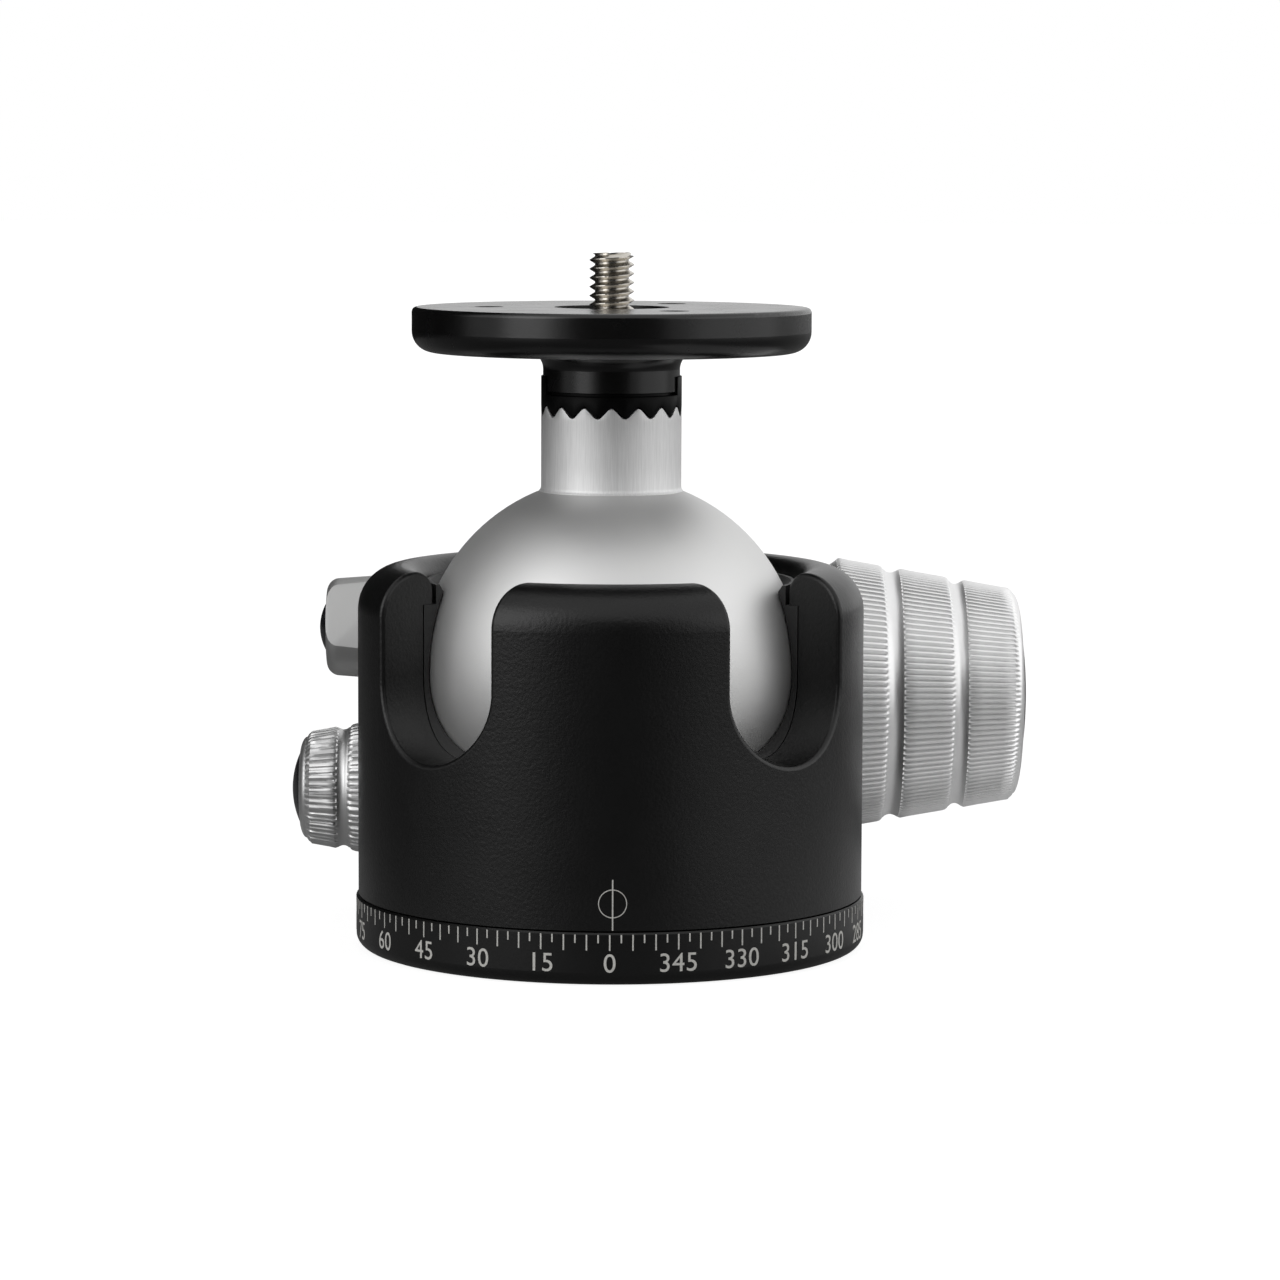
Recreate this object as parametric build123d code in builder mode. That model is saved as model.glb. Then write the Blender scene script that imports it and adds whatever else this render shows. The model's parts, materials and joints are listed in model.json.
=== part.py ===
"""Tripod ball head: panning base with a degree scale, slotted housing, clamped ball and round platform.

Millimetres, +Z up. The origin is the mouth of the tripod thread, in the middle of the base's
underside. The two drop notches face front right and front left (-Y), the control shafts cross
behind the ball (+Y), the clamp knob is on the right (+X) and the two small knobs on the left.
"""

import os
from math import cos, hypot, radians, sin, sqrt, tan

from build123d import *

os.makedirs("parts", exist_ok=True)

# ---------------------------------------------------------------- clearances
run = 0.05            # radial clearance of a shaft, pin or slider in its bore
seat = 0.05           # gap between flat faces of pieces that slide on each other
free = 0.25           # gap between round faces that move past each other
bore_wall = 0.7       # least metal between a control bore and the ball cavity

# ---------------------------------------------------------------- ball, cavity and housing wall
ball_r = 27.5
race_room = 1.3       # from the ball's equator to the cavity wall
body_wall = 7.5
ring_step = 0.3       # scale ring proud of the housing above it
cavity_r = ball_r + race_room
body_r = cavity_r + body_wall
base_r = body_r + ring_step

# ---------------------------------------------------------------- closure plate, cup and spring
plate_ledge = 1.7     # plate's edge outside the cavity
plate_lift = 0.24     # plate's underside above the housing's
plate_t = 2.3
plate_r = cavity_r + plate_ledge
plate_hole_gap = 0.3
spanner_hole_r = 1.25
spanner_hole_inset = 3.0
spanner_hole_pcr = plate_r - spanner_hole_inset
spanner_hole_count = 4
spring_t = 0.8
spring_rise = 2.45
spring_inset = 1.8    # spring's outside from the cavity wall
spring_width = 7.0
spring_r_out = cavity_r - spring_inset
spring_r_in = spring_r_out - spring_width
cup_hole_r = 14.0
cup_gap = 0.4         # cup to the race above it

# ---------------------------------------------------------------- panning base
base_h = 7.43
base_foot_round = 1.9
base_top_bevel = 0.25
pan_gap = 0.23        # open line between the scale ring and the housing
housing_z0 = base_h + pan_gap
plate_z0 = housing_z0 + plate_lift
retainer_gap = 0.2    # retainer above the closure plate
hub_r = 15.0
hub_h = plate_z0 + plate_t + retainer_gap
bush_r = 7.5
bush_flange_r = 9.5
bush_flange_t = 3.4
bush_flange_z = hub_h - bush_flange_t
tripod_hole_r = 3.97  # tap drill of a 3/8-16 thread
washer_land = 2.0     # hub to the washer's hole
washer_inset = 5.5    # washer's edge from the closure plate's
washer_r_in = hub_r + washer_land
washer_r_out = plate_r - washer_inset
washer_sink = 0.6
retainer_lap = 3.2    # retainer's edge over the closure plate
retainer_r = hub_r + plate_hole_gap + retainer_lap
retainer_t = 1.3
retainer_screw_pcr = 12.2
retainer_screw_r = 1.0
retainer_screw_head_r = 1.9
retainer_screw_depth = 4.0
retainer_screw_count = 3

# ---------------------------------------------------------------- housing
ball_floor_gap = 0.8  # ball above the retainer
ball_z = hub_h + retainer_t + ball_floor_gap + ball_r
crest_rise = 14.8     # crest above the ball's centre
lip_depth = 4.75
lip_inset = 1.8       # lip's hole inside the cavity wall
crest_z = ball_z + crest_rise
lip_z = crest_z - lip_depth
lip_r = cavity_r - lip_inset
outer_round = 6.2
inner_round = 3.0
neck_r = 10.05
notch_clear = 0.85    # neck to the side of a drop notch
notch_half = neck_r + notch_clear
notch_edge_round = 0.6
notch_headings = (45.0, -45.0)
block_half = 29.2     # the rear block's side faces
block_back_wall = 8.4
block_foot = 1.34     # block above the housing's underside
block_drop = 4.3      # block's top below the crest
block_z0 = housing_z0 + block_foot
block_top = crest_z - block_drop
block_corner = 4.0
block_edge = 1.6

# ---------------------------------------------------------------- ball race
race_fit = 0.2        # race to cavity wall
race_drop = 16.0      # race's foot below the ball's centre
race_z0 = ball_z - race_drop
cup_top_z = race_z0 - cup_gap
race_collar_gap = 0.55
race_collar_drop = 2.05   # race's collar below the crest
race_bevel_drop = 1.0     # collar's inner edge below its top
race_collar_z = crest_z - race_collar_drop
race_tip_z = race_collar_z - race_bevel_drop
race_top_flat = 0.6
key_r = 1.5
key_rise = 3.0        # key above the race's foot
key_z = race_z0 + key_rise
key_in_housing = 3.8
key_in_race = 2.2

# ---------------------------------------------------------------- neck and collar
neck_sink = 0.2       # neck's seat below its line on the ball
neck_seat_z = ball_z + sqrt(ball_r**2 - neck_r**2) - neck_sink
neck_h = 12.4
neck_top = neck_seat_z + neck_h
shank_r = 7.0
shank_rise = 8.0      # shank's foot above the ball's centre
shank_foot_z = ball_z + shank_rise
tooth_count = 16
tooth_depth = 1.5
tooth_gap = 0.15
collar_proud = 0.05
collar_h = 1.6        # collar above the neck's teeth
collar_line = 0.5     # open line between the collar and the platform's stem
collar_r = neck_r + collar_proud
collar_top = neck_top + collar_h
stem_inset = 0.25     # platform's stem inside the neck's outside
boss_inset = 0.6      # collar's boss inside the platform's stem
stem_r = neck_r - stem_inset
collar_boss_r = stem_r - boss_inset
tab_half_width = 3.6
tab_rise = 2.6
tab_r_in = collar_boss_r
tab_top = collar_top + tab_rise

# ---------------------------------------------------------------- platform
plat_r = 28.55
plat_t = 6.4
plat_top_round = 0.7
plat_low_round = 3.0
stem_length = 5.47    # platform's stem below its plate
cove_r = 2.4
stem_z0 = collar_top + collar_line
plat_z0 = stem_z0 + stem_length
plat_top = plat_z0 + plat_t
recess_r = 8.2
recess_depth = 3.0
recess_z0 = plat_top - recess_depth
plat_hole_r = 2.1
plat_hole_pcd = 35.0
plat_hole_count = 3

# ---------------------------------------------------------------- bolt and stud
bolt_r = 5.0
bolt_depth = 10.8     # bolt's end below the neck's teeth
bolt_foot_z = neck_top - bolt_depth
bolt_head_r = 7.0
bolt_head_t = 1.8
stud_r = 3.175        # outside of a 1/4-20 thread
stud_root_r = 3.0
stud_rise = 7.83      # stud above the platform
stud_sink = 11.77     # stud's foot below the platform's top
stud_foot_z = plat_top - stud_sink
stud_top = plat_top + stud_rise
stud_tip = 0.6

# ---------------------------------------------------------------- controls
shaft_hole_gap = 0.15
knob_gap = 0.5        # knob to the block's side
pocket_gap = 0.8      # knob to the round body beside it
wedge_slope = 15.0
wedge_land = 0.4      # the slope's high end below the nut's outside
nut_clear = 0.4       # nut to the inner end of its bore
collar_clear = 0.2    # shaft collar to the nut when it is backed right off
collar_t = 1.0
collar_step = 1.2     # shaft collar proud of the journal
knob_taper = 9.8      # half angle of the knobs' cones

clamp_thread_r = 3.0
clamp_bore_r = 6.5
clamp_journal_r = 4.0
clamp_nut_length = 8.0
clamp_shoe_r = 4.0
clamp_throw = 1.0     # how far a clamp nut backs off
clamp_shaft_wall = 1.05   # metal between the clamp shaft's hole and the ball cavity
clamp_drop = 7.44     # clamp shaft below the ball's centre
clamp_y = cavity_r + clamp_shaft_wall + clamp_thread_r + shaft_hole_gap
clamp_z = ball_z - clamp_drop
block_back = clamp_y + block_back_wall

small_thread_r = 1.5
small_journal_r = 2.5
small_throw = 0.6
small_inset = 0.8     # the small shafts' axes inside the cavity's radius, beside the ball
small_y = cavity_r - small_inset
friction_bore_r = 4.0
friction_nut_length = 6.0
friction_pin_r = 2.0
friction_rise = 2.9   # friction shaft above the ball's centre
friction_z = ball_z + friction_rise
pan_bore_r = 3.8
pan_nut_length = 5.0
brake_pin_r = 1.8
pan_lock_rise = 11.0  # pan lock shaft above the housing's underside
pan_lock_z = housing_z0 + pan_lock_rise


def clear_x(y, bore_r):
    """Smallest |X| at which a bore along X stays clear of the ball cavity."""
    reach = y - bore_r - bore_wall
    return sqrt(max(cavity_r**2 - reach**2, 0.0))


def toward_ball(y, z):
    """Unit vector in the YZ plane from a control axis to the ball's centre."""
    span = hypot(y, ball_z - z)
    return (0.0, -y / span, (ball_z - z) / span)


class Control:
    """A knob on an axially fixed shaft, whose thread moves a wedge that pushes a plunger."""

    def __init__(self, side, y, z, bore_r, thread_r, journal_r, nut_length, plunger_r, push, throw):
        self.side = side
        self.y = y
        self.z = z
        self.bore_r = bore_r
        self.thread_r = thread_r
        self.journal_r = journal_r
        self.plunger_r = plunger_r
        self.push = push
        self.bore_in = clear_x(y, bore_r)
        self.nut_in = self.bore_in + nut_clear
        self.nut_out = self.nut_in + nut_length
        self.plunger_x = self.nut_in + nut_length / 2
        self.nut_r = bore_r - 2 * run
        self.collar_in = self.nut_out + throw + collar_clear
        self.collar_out = self.collar_in + collar_t
        self.bush_in = self.collar_out + seat
        self.axis = Axis((0, y, z), (1, 0, 0))

    def across(self, side=None):
        """Plane with local x running outward along X from the middle plane and local y up."""
        way = self.side if side is None else side
        return Plane((0, self.y, self.z), x_dir=(way, 0, 0), z_dir=(0, -way, 0))

    def facing(self, x, side=None):
        """Plane square to the shaft at a distance x from the middle plane, facing outward."""
        way = self.side if side is None else side
        return Plane((way * x, self.y, self.z), x_dir=(0, way, 0), z_dir=(way, 0, 0))

    def wedge(self, gap, side=None):
        """The sloped face between nut and plunger, moved along the push by a gap."""
        way = self.side if side is None else side
        rise = self.nut_r - wedge_land + gap
        slope = radians(wedge_slope)
        spot = (way * self.nut_out, self.y + rise * self.push[1], self.z + rise * self.push[2])
        normal = (-way * sin(slope), cos(slope) * self.push[1], cos(slope) * self.push[2])
        return Plane(spot, x_dir=(0, -self.push[2], self.push[1]), z_dir=normal)

    def plunger_plane(self, side=None):
        """Plane on the shaft axis from which the plunger runs along the push."""
        way = self.side if side is None else side
        return Plane((way * self.plunger_x, self.y, self.z), x_dir=(1, 0, 0), z_dir=self.push)


down = (0.0, 0.0, -1.0)
clamp = Control(1, clamp_y, clamp_z, clamp_bore_r, clamp_thread_r, clamp_journal_r,
                clamp_nut_length, clamp_shoe_r, toward_ball(clamp_y, clamp_z), clamp_throw)
friction = Control(-1, small_y, friction_z, friction_bore_r, small_thread_r, small_journal_r,
                   friction_nut_length, friction_pin_r, toward_ball(small_y, friction_z), small_throw)
pan_lock = Control(-1, small_y, pan_lock_z, pan_bore_r, small_thread_r, small_journal_r,
                   pan_nut_length, brake_pin_r, down, small_throw)

inside_ball = ball_r / 2
pad_in_housing = 1.3
clamp_reach = hypot(clamp.y, ball_z - clamp.z) - inside_ball
friction_reach = hypot(friction.y, ball_z - friction.z) - inside_ball
pan_reach = pan_lock.z - housing_z0
pad_top = housing_z0 + pad_in_housing

# clamp knob: distances outward from its inner face, radii of its cone
clamp_knob_bevel = 4.5
clamp_knob_back_r = 17.3
clamp_knob_r = 20.4
clamp_knob_bands = (6.8, 7.4, 6.6)
clamp_knob_grooves = (2.5, 2.2)
clamp_knob_groove_depth = 0.75
clamp_knob_nose = 2.3
clamp_knob_face_r = 11.25
clamp_cap_dome = 0.95
clamp_knob_shaft_end = 27.0
clamp_screw_r = 1.5
clamp_screw_head_r = 3.0

# pan lock knob, the same in small
pan_knob_bevel = 3.9
pan_knob_back_r = 7.9
pan_knob_r = 10.4
pan_knob_bands = (5.5, 4.6)
pan_knob_grooves = (1.9,)
pan_knob_groove_depth = 0.6
pan_knob_nose = 1.2
pan_knob_face_r = 5.5
pan_cap_dome = 1.2
pan_knob_shaft_end = 12.0
small_screw_r = 1.0
small_screw_head_r = 2.0

# friction knob: smooth, with two flats for the fingers
friction_knob_r_in = 8.0
friction_knob_r_out = 7.3
friction_knob_length = 12.7
friction_knob_corner = 1.9
friction_knob_flat = 5.5
friction_knob_turn = 24.0
friction_face_r = 3.95
friction_cap_dome = 1.1
friction_knob_shaft_end = 8.0

friction_knob_rim = 2.0

nose_bulge = 0.62     # how full the cone knobs' rounded noses are, 0.5 being a straight bevel

# inside the knobs and the bores
cap_sink = 1.0
screw_head_t = 2.0
screw_hole_depth = 8.0
screw_length = 7.0
screw_seat_gap = 0.2
screw_socket = 0.55   # socket's corner radius as a share of the head's
screw_socket_depth = 1.2
shaft_past_nut = 0.6
small_shaft_past_nut = 0.3
plug_length = 4.6
plug_socket_r = 3.4
plug_socket_depth = 2.5


def dome_point(x, radius, rise):
    """Point halfway up a shallow dome that rises from a circle of a radius."""
    sphere_r = (radius**2 + rise**2) / (2 * rise)
    half = radius / 2
    return (x + sqrt(sphere_r**2 - half**2) - (sphere_r - rise), half)


def save(part, name):
    """Label a finished piece and write it."""
    part.label = name
    export_step(part, f"parts/{name}.step")


# ================================================================ base
with BuildPart() as panning_base:
    with BuildSketch():
        Circle(base_r)
    extrude(amount=base_h)
    fillet(panning_base.edges().group_by(Axis.Z)[0], radius=base_foot_round)
    chamfer(panning_base.edges().group_by(Axis.Z)[-1], length=base_top_bevel)
    with BuildSketch(Plane.XY.offset(base_h)):
        Circle(hub_r)
    extrude(amount=hub_h - base_h)
    with BuildSketch(Plane.XY.offset(base_h - washer_sink)):
        Circle(washer_r_out + run)
        Circle(washer_r_in - run, mode=Mode.SUBTRACT)
    extrude(amount=washer_sink, mode=Mode.SUBTRACT)
    with BuildSketch():
        Circle(bush_r)
    extrude(amount=hub_h, mode=Mode.SUBTRACT)
    with BuildSketch(Plane.XY.offset(bush_flange_z)):
        Circle(bush_flange_r)
    extrude(amount=hub_h - bush_flange_z, mode=Mode.SUBTRACT)
    with BuildSketch(Plane.XY.offset(hub_h)):
        with PolarLocations(retainer_screw_pcr, retainer_screw_count, start_angle=90):
            Circle(retainer_screw_r)
    extrude(amount=-retainer_screw_depth, mode=Mode.SUBTRACT)
save(panning_base.part, "panning_base")

with BuildPart() as tripod_bush:
    with BuildSketch():
        Circle(bush_r)
    extrude(amount=bush_flange_z)
    with BuildSketch(Plane.XY.offset(bush_flange_z)):
        Circle(bush_flange_r)
    extrude(amount=hub_h - bush_flange_z)
    with BuildSketch():
        Circle(tripod_hole_r)
    extrude(amount=hub_h, mode=Mode.SUBTRACT)
save(tripod_bush.part, "tripod_bush")

with BuildPart() as thrust_washer:
    with BuildSketch(Plane.XY.offset(base_h - washer_sink)):
        Circle(washer_r_out)
        Circle(washer_r_in, mode=Mode.SUBTRACT)
    extrude(amount=plate_z0 - seat - (base_h - washer_sink))
save(thrust_washer.part, "thrust_washer")

retainer_top = hub_h + retainer_t
head_cone = retainer_screw_head_r - retainer_screw_r

with BuildPart() as pan_retainer:
    with BuildSketch(Plane.XY.offset(hub_h)):
        Circle(retainer_r)
    extrude(amount=retainer_t)
    with Locations(Plane.XY.offset(retainer_top)):
        with PolarLocations(retainer_screw_pcr, retainer_screw_count, start_angle=90):
            CounterSinkHole(retainer_screw_r, retainer_screw_head_r, depth=retainer_t)
save(pan_retainer.part, "pan_retainer")

with BuildPart() as retainer_screws:
    with BuildSketch(Plane.XY.offset(hub_h - retainer_screw_depth)):
        with PolarLocations(retainer_screw_pcr, retainer_screw_count, start_angle=90):
            Circle(retainer_screw_r)
    extrude(amount=retainer_screw_depth + retainer_t - head_cone)
    with Locations(Plane.XY.offset(retainer_top - head_cone / 2)):
        with PolarLocations(retainer_screw_pcr, retainer_screw_count, start_angle=90):
            Cone(retainer_screw_r, retainer_screw_head_r, head_cone)
save(retainer_screws.part, "retainer_screws")

# ================================================================ housing
def on_notch_rim(edge):
    """True for the edges where a drop notch breaks through the outside and over the crest."""
    spots = [edge @ share for share in (0.02, 0.5, 0.98)]
    in_notch = False
    for heading in notch_headings:
        side, ahead = cos(radians(heading)), sin(radians(heading))
        across = [abs(spot.X * side + spot.Y * ahead) for spot in spots]
        along = [spot.X * ahead - spot.Y * side for spot in spots]
        in_notch = in_notch or (max(across) < notch_half + 0.01 and min(along) > 0)
    on_wall = all(abs(hypot(spot.X, spot.Y) - body_r) < 0.01 for spot in spots)
    on_crest = spots[1].Z > lip_z + inner_round / 2
    return in_notch and (on_wall or on_crest)


with BuildPart() as housing:
    with BuildSketch(Plane.XY.offset(housing_z0)):
        Circle(body_r)
    extrude(amount=crest_z - housing_z0)
    fillet(housing.edges().group_by(Axis.Z)[-1], radius=outer_round)
    with BuildSketch(Plane.XY.offset(block_z0)) as block_outline:
        with Locations((0, block_back / 2)):
            Rectangle(2 * block_half, block_back)
        fillet(block_outline.vertices().group_by(Axis.Y)[-1], radius=block_corner)
    extrude(amount=block_top - block_z0)
    for level in (block_z0, block_top):
        rim = housing.edges().filter_by_position(Axis.Z, level - 0.01, level + 0.01)
        outer = rim.filter_by(lambda edge: hypot((edge @ 0.5).X, (edge @ 0.5).Y) > body_r + 0.1)
        chamfer(outer, length=block_edge)
    with BuildSketch(Plane.XY.offset(housing_z0)):
        Circle(cavity_r)
    extrude(amount=lip_z - housing_z0, mode=Mode.SUBTRACT)
    with BuildSketch(Plane.XY.offset(lip_z)):
        Circle(lip_r)
    extrude(amount=crest_z - lip_z, mode=Mode.SUBTRACT)
    mouth = housing.edges().filter_by(GeomType.CIRCLE).group_by(Axis.Z)[-1]
    mouth_round = min(inner_round, body_r - outer_round - lip_r - seat)
    fillet(mouth.sort_by(SortBy.RADIUS)[0], radius=mouth_round)
    with BuildSketch(Plane.XY.offset(housing_z0)):
        Circle(plate_r + run)
    extrude(amount=plate_z0 + plate_t - housing_z0, mode=Mode.SUBTRACT)
    # pockets that let the knobs' inner ends pass the round body
    for control, knob_r in ((clamp, clamp_knob_r), (pan_lock, pan_knob_r),
                            (friction, friction_knob_r_in)):
        with BuildSketch(control.facing(block_half)):
            Circle(knob_r + pocket_gap)
        extrude(amount=body_r, mode=Mode.SUBTRACT)
    # control bores and plunger holes
    for control, sides in ((clamp, (1, -1)), (friction, (-1,)), (pan_lock, (-1,))):
        for way in sides:
            with BuildSketch(control.facing(control.bore_in, way)):
                Circle(control.bore_r)
            extrude(amount=block_half - control.bore_in, mode=Mode.SUBTRACT)
    with BuildSketch(clamp.facing(0)):
        Circle(clamp.thread_r + shaft_hole_gap)
    extrude(amount=clamp.bore_in, both=True, mode=Mode.SUBTRACT)
    for control, way, reach in ((clamp, 1, clamp_reach), (clamp, -1, clamp_reach),
                                (friction, -1, friction_reach), (pan_lock, -1, pan_reach)):
        with BuildSketch(control.plunger_plane(way)):
            Circle(control.plunger_r + run)
        extrude(amount=reach, mode=Mode.SUBTRACT)
    with BuildSketch(Plane((0, 0, key_z), x_dir=(0, 1, 0), z_dir=(-1, 0, 0))):
        Circle(key_r)
    extrude(amount=cavity_r + key_in_housing, mode=Mode.SUBTRACT)
    # drop notches
    for heading in notch_headings:
        out = Vector(sin(radians(heading)), -cos(radians(heading)), 0)
        with BuildSketch(Plane((0, 0, ball_z), x_dir=out.cross(Vector(0, 0, 1)), z_dir=out)):
            Circle(notch_half)
            with Locations((0, -(crest_z - ball_z))):
                Rectangle(2 * notch_half, 2 * (crest_z - ball_z))
        extrude(amount=2 * body_r, mode=Mode.SUBTRACT)
    fillet(housing.edges().filter_by(on_notch_rim), radius=notch_edge_round)
save(housing.part, "housing")

# ================================================================ under the ball
plate_top = plate_z0 + plate_t

with BuildPart() as closure_plate:
    with BuildSketch(Plane.XY.offset(plate_z0)):
        Circle(plate_r)
        Circle(hub_r + plate_hole_gap, mode=Mode.SUBTRACT)
        with PolarLocations(spanner_hole_pcr, spanner_hole_count):
            Circle(spanner_hole_r, mode=Mode.SUBTRACT)
    extrude(amount=plate_t)
save(closure_plate.part, "closure_plate")

cup_z0 = plate_top + spring_rise + spring_t

with BuildPart() as cup_spring:
    with BuildSketch(Plane.XZ):
        with BuildLine():
            Polyline(
                (spring_r_out, plate_top),
                (spring_r_out, plate_top + spring_t),
                (spring_r_in, cup_z0),
                (spring_r_in, cup_z0 - spring_t),
                close=True,
            )
        make_face()
    revolve(axis=Axis.Z)
save(cup_spring.part, "cup_spring")

with BuildPart() as pressure_cup:
    with BuildSketch(Plane.XY.offset(cup_z0)):
        Circle(cavity_r - race_fit)
        Circle(cup_hole_r, mode=Mode.SUBTRACT)
    extrude(amount=cup_top_z - cup_z0)
    with Locations((0, 0, ball_z)):
        Sphere(ball_r + free, mode=Mode.SUBTRACT)
save(pressure_cup.part, "pressure_cup")

# ================================================================ ball race
race_r = cavity_r - race_fit
collar_out_r = lip_r - race_collar_gap
socket_r = ball_r + free
tip_r = sqrt(socket_r**2 - (race_tip_z - ball_z) ** 2)

with BuildPart() as ball_race:
    with BuildSketch(Plane.XZ):
        with BuildLine():
            Polyline(
                (0, race_z0),
                (race_r, race_z0),
                (race_r, lip_z - seat),
                (collar_out_r, lip_z - seat),
                (collar_out_r, race_collar_z),
                (collar_out_r - race_top_flat, race_collar_z),
                (tip_r, race_tip_z),
                (0, race_tip_z),
                close=True,
            )
        make_face()
    revolve(axis=Axis.Z)
    with Locations((0, 0, ball_z)):
        Sphere(socket_r, mode=Mode.SUBTRACT)
    for heading in notch_headings:
        out = Vector(sin(radians(heading)), -cos(radians(heading)), 0)
        with BuildSketch(Plane((0, 0, ball_z), x_dir=out.cross(Vector(0, 0, 1)), z_dir=out)):
            Circle(notch_half)
            with Locations((0, -(crest_z - ball_z))):
                Rectangle(2 * notch_half, 2 * (crest_z - ball_z))
        extrude(amount=body_r, mode=Mode.SUBTRACT)
    for control, way, reach in ((clamp, 1, clamp_reach), (clamp, -1, clamp_reach),
                                (friction, -1, friction_reach)):
        with BuildSketch(control.plunger_plane(way)):
            Circle(control.plunger_r + free)
        extrude(amount=reach, mode=Mode.SUBTRACT)
    with BuildSketch(Plane((0, 0, key_z), x_dir=(0, 1, 0), z_dir=(-1, 0, 0))):
        Circle(key_r + run)
    extrude(amount=cavity_r, mode=Mode.SUBTRACT)
save(ball_race.part, "ball_race")

with BuildPart() as race_key:
    with BuildSketch(Plane((-(race_r - key_in_race), 0, key_z), x_dir=(0, 1, 0), z_dir=(-1, 0, 0))):
        Circle(key_r)
    extrude(amount=key_in_race + race_fit + key_in_housing)
save(race_key.part, "race_key")

# ================================================================ ball
with BuildPart() as ball:
    with Locations((0, 0, ball_z)):
        Sphere(ball_r)
    with BuildSketch(Plane.XY.offset(neck_seat_z)):
        Circle(neck_r + run)
    extrude(amount=ball_r, mode=Mode.SUBTRACT)
    with BuildSketch(Plane.XY.offset(shank_foot_z)):
        Circle(shank_r + run)
    extrude(amount=ball_r, mode=Mode.SUBTRACT)
save(ball.part, "ball")

# ================================================================ stem, collar and platform
tooth_half = neck_r * tan(radians(180 / tooth_count))
first_gap = 180 / tooth_count - 90


def tooth_row(shrink, mode):
    """V shapes pointing down, one in each gap between the neck's teeth, added or cut."""
    half = tooth_half * (1 - shrink / tooth_depth)
    for index in range(tooth_count):
        angle = radians(first_gap + index * 360 / tooth_count)
        out = Vector(cos(angle), sin(angle), 0)
        start = out * (bolt_r / 2) + Vector(0, 0, neck_top)
        with BuildSketch(Plane(start, x_dir=out.cross(Vector(0, 0, -1)), z_dir=out)) as vee:
            with BuildLine():
                Polyline((-half, 1), (-half, 0), (0, shrink - tooth_depth), (half, 0), (half, 1),
                         close=True)
            make_face()
        extrude(vee.sketch, amount=collar_r, mode=mode)


with BuildPart() as ball_stem:
    with BuildSketch(Plane.XY.offset(shank_foot_z + seat)):
        Circle(shank_r)
    extrude(amount=neck_seat_z - shank_foot_z)
    with BuildSketch(Plane.XY.offset(neck_seat_z + seat)):
        Circle(neck_r)
    extrude(amount=neck_top - neck_seat_z - seat)
    with BuildSketch(Plane.XY.offset(bolt_foot_z - seat)):
        Circle(bolt_r)
    extrude(amount=neck_top - bolt_foot_z + 2 * seat, mode=Mode.SUBTRACT)
    tooth_row(0, Mode.SUBTRACT)
save(ball_stem.part, "ball_stem")

with BuildPart() as index_collar:
    tooth_row(tooth_gap, Mode.ADD)
    with BuildSketch(Plane.XY.offset(neck_top + tooth_gap)):
        Circle(collar_r)
    extrude(amount=collar_top - neck_top - tooth_gap)
    with BuildSketch(Plane.XY.offset(neck_top - tooth_depth)):
        Circle(collar_r)
    extrude(amount=collar_top - neck_top + tooth_depth, mode=Mode.INTERSECT)
    with BuildSketch(Plane.XY.offset(collar_top)):
        Circle(collar_boss_r)
    extrude(amount=collar_line)
    with BuildSketch(Plane.XY.offset(collar_top)):
        Circle(collar_r)
        Rectangle(2 * collar_r, 2 * tab_half_width, mode=Mode.INTERSECT)
        Rectangle(2 * tab_r_in, 2 * tab_half_width, mode=Mode.SUBTRACT)
    extrude(amount=tab_top - collar_top)
    with BuildSketch(Plane.XY.offset(neck_top - tooth_depth)):
        Circle(bolt_r + 2 * run)
    extrude(amount=tab_top - neck_top + tooth_depth, mode=Mode.SUBTRACT)
save(index_collar.part, "index_collar")

with BuildPart() as platform:
    with BuildSketch(Plane.XY.offset(plat_z0)):
        Circle(plat_r)
    extrude(amount=plat_t)
    fillet(platform.edges().group_by(Axis.Z)[-1], radius=plat_top_round)
    fillet(platform.edges().group_by(Axis.Z)[0], radius=plat_low_round)
    with BuildSketch(Plane.XY.offset(stem_z0)):
        Circle(stem_r)
    extrude(amount=plat_z0 - stem_z0)
    under = platform.edges().filter_by(GeomType.CIRCLE)
    under = under.filter_by_position(Axis.Z, plat_z0 - 0.01, plat_z0 + 0.01)
    fillet(under.sort_by(SortBy.RADIUS)[0], radius=cove_r)
    with BuildSketch(Plane.XY.offset(recess_z0)):
        Circle(recess_r)
    extrude(amount=recess_depth, mode=Mode.SUBTRACT)
    with BuildSketch(Plane.XY.offset(stem_z0)):
        Circle(bolt_r + 2 * run)
    extrude(amount=recess_z0 - stem_z0, mode=Mode.SUBTRACT)
    with BuildSketch(Plane.XY.offset(plat_z0)):
        with PolarLocations(plat_hole_pcd / 2, plat_hole_count, start_angle=180):
            Circle(plat_hole_r)
    extrude(amount=plat_t, mode=Mode.SUBTRACT)
    with BuildSketch(Plane.XY.offset(stem_z0)):
        Rectangle(2 * collar_r, 2 * (tab_half_width + run))
        Rectangle(2 * (tab_r_in - run), 2 * (tab_half_width + run), mode=Mode.SUBTRACT)
    extrude(amount=tab_top + run - stem_z0, mode=Mode.SUBTRACT)
save(platform.part, "platform")

bolt_top = recess_z0 + bolt_head_t

with BuildPart() as platform_bolt:
    with BuildSketch(Plane.XY.offset(bolt_foot_z)):
        Circle(bolt_r - run)
    extrude(amount=recess_z0 - bolt_foot_z)
    with BuildSketch(Plane.XY.offset(recess_z0)):
        Circle(bolt_head_r)
    extrude(amount=bolt_head_t)
    with BuildSketch(Plane.XY.offset(stud_foot_z)):
        Circle(stud_root_r)
    extrude(amount=bolt_top - stud_foot_z, mode=Mode.SUBTRACT)
save(platform_bolt.part, "platform_bolt")

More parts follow.
